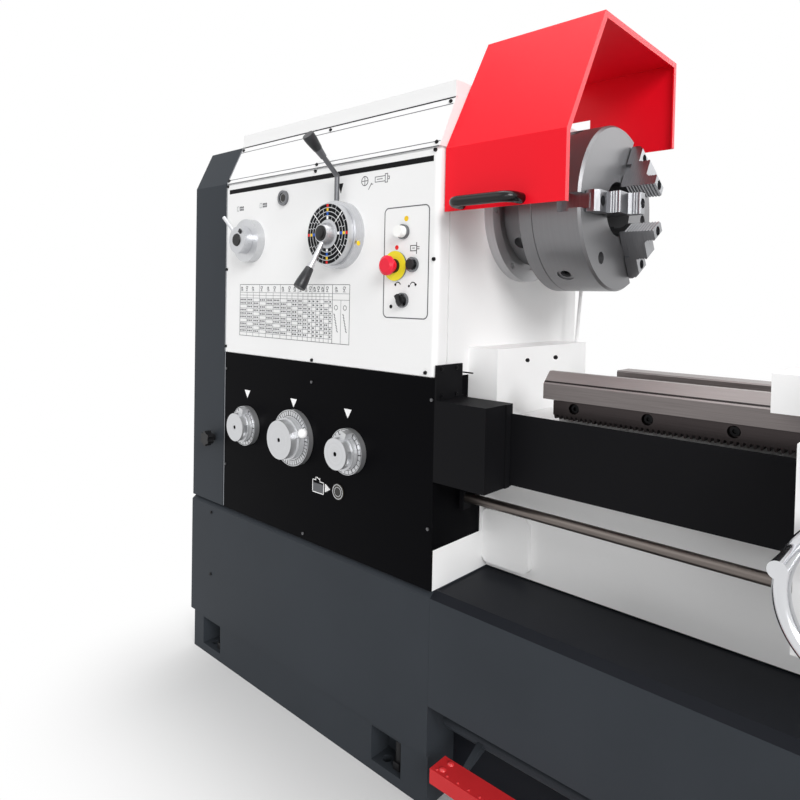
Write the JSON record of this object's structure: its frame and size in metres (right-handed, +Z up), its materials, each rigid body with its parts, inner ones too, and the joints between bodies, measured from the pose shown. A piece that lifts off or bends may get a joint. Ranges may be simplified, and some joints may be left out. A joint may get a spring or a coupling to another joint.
{
  "type": "engine lathe",
  "caption": "Engine lathe with white geared headstock, red chuck guard, three-jaw chuck, long gap bed, carriage and tailstock",
  "frame": {"origin": "on the floor straight below the front spindle bearing, 60 mm inside the headstock's right face", "axes": "+X along the spindle towards the tailstock, +Y away from the operator, +Z up"},
  "size_m": [5.6813, 0.894, 1.525],
  "materials": {
    "anthracite_paint": "satin",
    "white_paint": "satin",
    "black_panel": "satin",
    "red_paint": "satin",
    "ground_ways": "ground",
    "turned_steel": "polished",
    "chrome": "polished",
    "black_plastic": "matte",
    "red_plastic": "gloss",
    "belt_rubber": "matte",
    "lens": "gloss",
    "cast_paint": "satin"
  },
  "bodies": {
    "base": {"head_pedestal": "anthracite_paint", "bed_pedestals": "anthracite_paint", "chip_tray": "anthracite_paint", "levelling_bolts": "turned_steel", "bed": "cast_paint", "rack": "ground_ways", "headstock": "white_paint", "headstock_lid": "white_paint", "front_panels": "white_paint", "feed_gearbox": "black_panel", "bearing_cover": "turned_steel", "gap_block": "cast_paint", "cabinet": "white_paint", "control_rings": "turned_steel", "bezels": "black_plastic", "lenses": "lens", "cover_box": "black_panel", "motor": "anthracite_paint", "v_belts": "belt_rubber", "curtain": "black_plastic"},
    "spindle": {"spindle": "turned_steel", "chuck_body": "turned_steel"},
    "jaw_1": {"jaw_1": "turned_steel"},
    "jaw_2": {"jaw_2": "turned_steel"},
    "jaw_3": {"jaw_3": "turned_steel"},
    "drive_pulley": {"drive_pulley": "ground_ways"},
    "motor_pulley": {"motor_pulley": "ground_ways"},
    "gear_driver": {"gear_driver": "ground_ways"},
    "gear_driven": {"gear_driven": "ground_ways"},
    "chuck_guard": {"chuck_guard": "red_paint", "guard_handle": "black_plastic"},
    "carriage": {"saddle": "cast_paint", "apron": "cast_paint"},
    "cross_slide": {"cross_slide": "ground_ways"},
    "compound": {"compound_base": "ground_ways"},
    "top_slide": {"top_slide": "ground_ways"},
    "toolpost": {"toolpost": "turned_steel"},
    "toolpost_lever": {"toolpost_lever": "chrome"},
    "thread_lever": {"thread_lever": "chrome"},
    "range_lever": {"range_lever": "chrome"},
    "speed_lever": {"speed_lever": "chrome"},
    "knob_left": {"knob_left": "chrome"},
    "knob_middle": {"knob_middle": "chrome"},
    "knob_right": {"knob_right": "chrome"},
    "estop_button": {"estop_button": "red_plastic"},
    "push_button": {"push_button": "black_plastic"},
    "selector": {"selector": "black_plastic"},
    "end_cover": {"end_cover": "anthracite_paint"},
    "cover_knob": {"cover_knob": "black_plastic"},
    "leadscrew": {"leadscrew": "ground_ways"},
    "feed_rod": {"feed_rod": "ground_ways"},
    "control_rod": {"control_rod": "ground_ways"},
    "foot_brake": {"foot_brake": "red_paint"},
    "apron_wheel": {"apron_wheel": "chrome"},
    "cross_crank": {"cross_crank": "chrome"},
    "half_nut_lever": {"half_nut_lever": "chrome"},
    "start_lever": {"start_lever": "chrome"},
    "tailstock": {"tailstock": "cast_paint"},
    "quill": {"quill": "turned_steel"},
    "tail_wheel": {"tail_wheel": "chrome"}
  },
  "joints": [
    {"name": "spindle_turn", "type": "hinge", "parent": "base", "child": "spindle", "pos_m": [0, 0, 1.186], "axis": [1, 0, 0], "continuous": true},
    {"name": "jaw_1_slide", "type": "slide", "parent": "spindle", "child": "jaw_1", "axis": [0, -1, 0], "range_m": [-0.025, 0.02]},
    {"name": "jaw_2_slide", "type": "slide", "parent": "spindle", "child": "jaw_2", "axis": [0, 0.5, -0.866], "range_m": [-0.025, 0.02]},
    {"name": "jaw_3_slide", "type": "slide", "parent": "spindle", "child": "jaw_3", "axis": [0, 0.5, 0.866], "range_m": [-0.025, 0.02]},
    {"name": "drive_pulley_turn", "type": "hinge", "parent": "base", "child": "drive_pulley", "pos_m": [-0.7, 0.11, 0.896], "axis": [1, 0, 0], "continuous": true},
    {"name": "motor_pulley_turn", "type": "hinge", "parent": "base", "child": "motor_pulley", "pos_m": [-0.7, 0.06, 0.23], "axis": [1, 0, 0], "continuous": true},
    {"name": "gear_driver_turn", "type": "hinge", "parent": "base", "child": "gear_driver", "pos_m": [-0.708, -0.184, 0.906], "axis": [1, 0, 0], "continuous": true},
    {"name": "gear_driven_turn", "type": "hinge", "parent": "base", "child": "gear_driven", "pos_m": [-0.708, -0.184, 0.73], "axis": [1, 0, 0], "continuous": true},
    {"name": "guard_hinge", "type": "hinge", "parent": "base", "child": "chuck_guard", "pos_m": [0.19, 0.235, 1.38], "axis": [-1, 0, 0], "range_deg": [0, 90]},
    {"name": "thread_lever_turn", "type": "hinge", "parent": "base", "child": "thread_lever", "pos_m": [-0.546, -0.33, 1.136], "axis": [0, 1, 0], "range_deg": [-60, 60]},
    {"name": "range_lever_turn", "type": "hinge", "parent": "base", "child": "range_lever", "pos_m": [-0.213, -0.311, 1.134], "axis": [0, 1, 0], "range_deg": [-60, 45]},
    {"name": "speed_lever_turn", "type": "hinge", "parent": "base", "child": "speed_lever", "pos_m": [-0.213, -0.35, 1.134], "axis": [0, 1, 0], "range_deg": [-40, 80]},
    {"name": "knob_left_turn", "type": "hinge", "parent": "base", "child": "knob_left", "pos_m": [-0.554, -0.32, 0.665], "axis": [0, 1, 0], "range_deg": [-120, 120]},
    {"name": "knob_middle_turn", "type": "hinge", "parent": "base", "child": "knob_middle", "pos_m": [-0.362, -0.32, 0.665], "axis": [0, 1, 0], "range_deg": [-150, 150]},
    {"name": "knob_right_turn", "type": "hinge", "parent": "base", "child": "knob_right", "pos_m": [-0.173, -0.32, 0.665], "axis": [0, 1, 0], "range_deg": [-90, 90]},
    {"name": "estop_press", "type": "slide", "parent": "base", "child": "estop_button", "axis": [0, 1, 0], "range_m": [0, 0.006], "stiffness_N_per_m": 2500, "springref_m": -0.004},
    {"name": "push_press", "type": "slide", "parent": "base", "child": "push_button", "axis": [0, 1, 0], "range_m": [0, 0.003], "stiffness_N_per_m": 1500, "springref_m": -0.003},
    {"name": "selector_turn", "type": "hinge", "parent": "base", "child": "selector", "pos_m": [-0.027, -0.306, 0.995], "axis": [0, 1, 0], "range_deg": [0, 60]},
    {"name": "end_cover_hinge", "type": "hinge", "parent": "base", "child": "end_cover", "pos_m": [-0.66615, 0.272, 0.9], "axis": [0, 0, -1], "range_deg": [0, 100]},
    {"name": "cover_knob_turn", "type": "hinge", "parent": "end_cover", "child": "cover_knob", "pos_m": [-0.712, -0.3, 0.609], "axis": [0, 1, 0], "range_deg": [-90, 0]},
    {"name": "leadscrew_turn", "type": "hinge", "parent": "base", "child": "leadscrew", "pos_m": [2, -0.172, 0.74], "axis": [1, 0, 0], "continuous": true},
    {"name": "feed_rod_turn", "type": "hinge", "parent": "base", "child": "feed_rod", "pos_m": [2, -0.172, 0.69], "axis": [1, 0, 0], "continuous": true},
    {"name": "control_rod_turn", "type": "hinge", "parent": "base", "child": "control_rod", "pos_m": [2, -0.196, 0.597], "axis": [1, 0, 0], "range_deg": [-15, 15]},
    {"name": "foot_brake_press", "type": "hinge", "parent": "base", "child": "foot_brake", "pos_m": [2, -0.237, 0.15], "axis": [1, 0, 0], "range_deg": [0, 12], "stiffness_Nm_per_rad": 60, "springref_deg": -34.38},
    {"name": "carriage_slide", "type": "slide", "parent": "base", "child": "carriage", "axis": [1, 0, 0], "range_m": [-0.27, 3.153], "deforming": ["curtain"]},
    {"name": "apron_wheel_turn", "type": "hinge", "parent": "carriage", "child": "apron_wheel", "pos_m": [0.766, -0.344, 0.648], "axis": [0, 1, 0], "continuous": true},
    {"name": "cross_crank_turn", "type": "hinge", "parent": "carriage", "child": "cross_crank", "pos_m": [0.87, -0.33, 0.902], "axis": [0, 1, 0], "range_deg": [-2900, 3260]},
    {"name": "cross_slide_move", "type": "slide", "parent": "carriage", "child": "cross_slide", "axis": [0, 1, 0], "range_m": [-0.08, 0.09]},
    {"name": "compound_swivel", "type": "hinge", "parent": "cross_slide", "child": "compound", "pos_m": [0.87, -0.046, 1], "axis": [0, 0, 1], "range_deg": [-60, 90]},
    {"name": "top_slide_move", "type": "slide", "parent": "compound", "child": "top_slide", "axis": [0, 1, 0], "range_m": [-0.05, 0.05]},
    {"name": "toolpost_turn", "type": "hinge", "parent": "top_slide", "child": "toolpost", "pos_m": [0.87, -0.046, 1.16], "axis": [0, 0, 1], "continuous": true},
    {"name": "toolpost_lever_turn", "type": "hinge", "parent": "top_slide", "child": "toolpost_lever", "pos_m": [0.87, -0.046, 1.25], "axis": [0, 0, 1], "range_deg": [0, 90]},
    {"name": "half_nut_turn", "type": "hinge", "parent": "carriage", "child": "half_nut_lever", "pos_m": [0.92, -0.339, 0.658], "axis": [0, 1, 0], "range_deg": [0, 35]},
    {"name": "start_lever_turn", "type": "hinge", "parent": "carriage", "child": "start_lever", "pos_m": [1.155, -0.196, 0.597], "axis": [1, 0, 0], "range_deg": [-15, 15]},
    {"name": "tailstock_slide", "type": "slide", "parent": "base", "child": "tailstock", "axis": [1, 0, 0], "range_m": [-3.143, 0.05]},
    {"name": "tail_wheel_turn", "type": "hinge", "parent": "tailstock", "child": "tail_wheel", "pos_m": [4.783, 0, 1.186], "axis": [1, 0, 0], "range_deg": [-7200, 0]},
    {"name": "quill_slide", "type": "slide", "parent": "tailstock", "child": "quill", "axis": [1, 0, 0], "range_m": [-0.2, 0]}
  ],
  "couplings": [
    {"joint": "jaw_2_slide", "follows": "jaw_1_slide", "ratio": 1},
    {"joint": "jaw_3_slide", "follows": "jaw_1_slide", "ratio": 1},
    {"joint": "motor_pulley_turn", "follows": "drive_pulley_turn", "ratio": 2},
    {"joint": "gear_driven_turn", "follows": "gear_driver_turn", "ratio": -0.83333},
    {"joint": "apron_wheel_turn", "follows": "carriage_slide", "rad_per_m": 33.333},
    {"joint": "cross_crank_turn", "follows": "cross_slide_move", "rad_per_m": 628.32},
    {"joint": "start_lever_turn", "follows": "control_rod_turn", "ratio": 1},
    {"joint": "quill_slide", "follows": "tail_wheel_turn", "m_per_rad": 0.0015915}
  ]
}
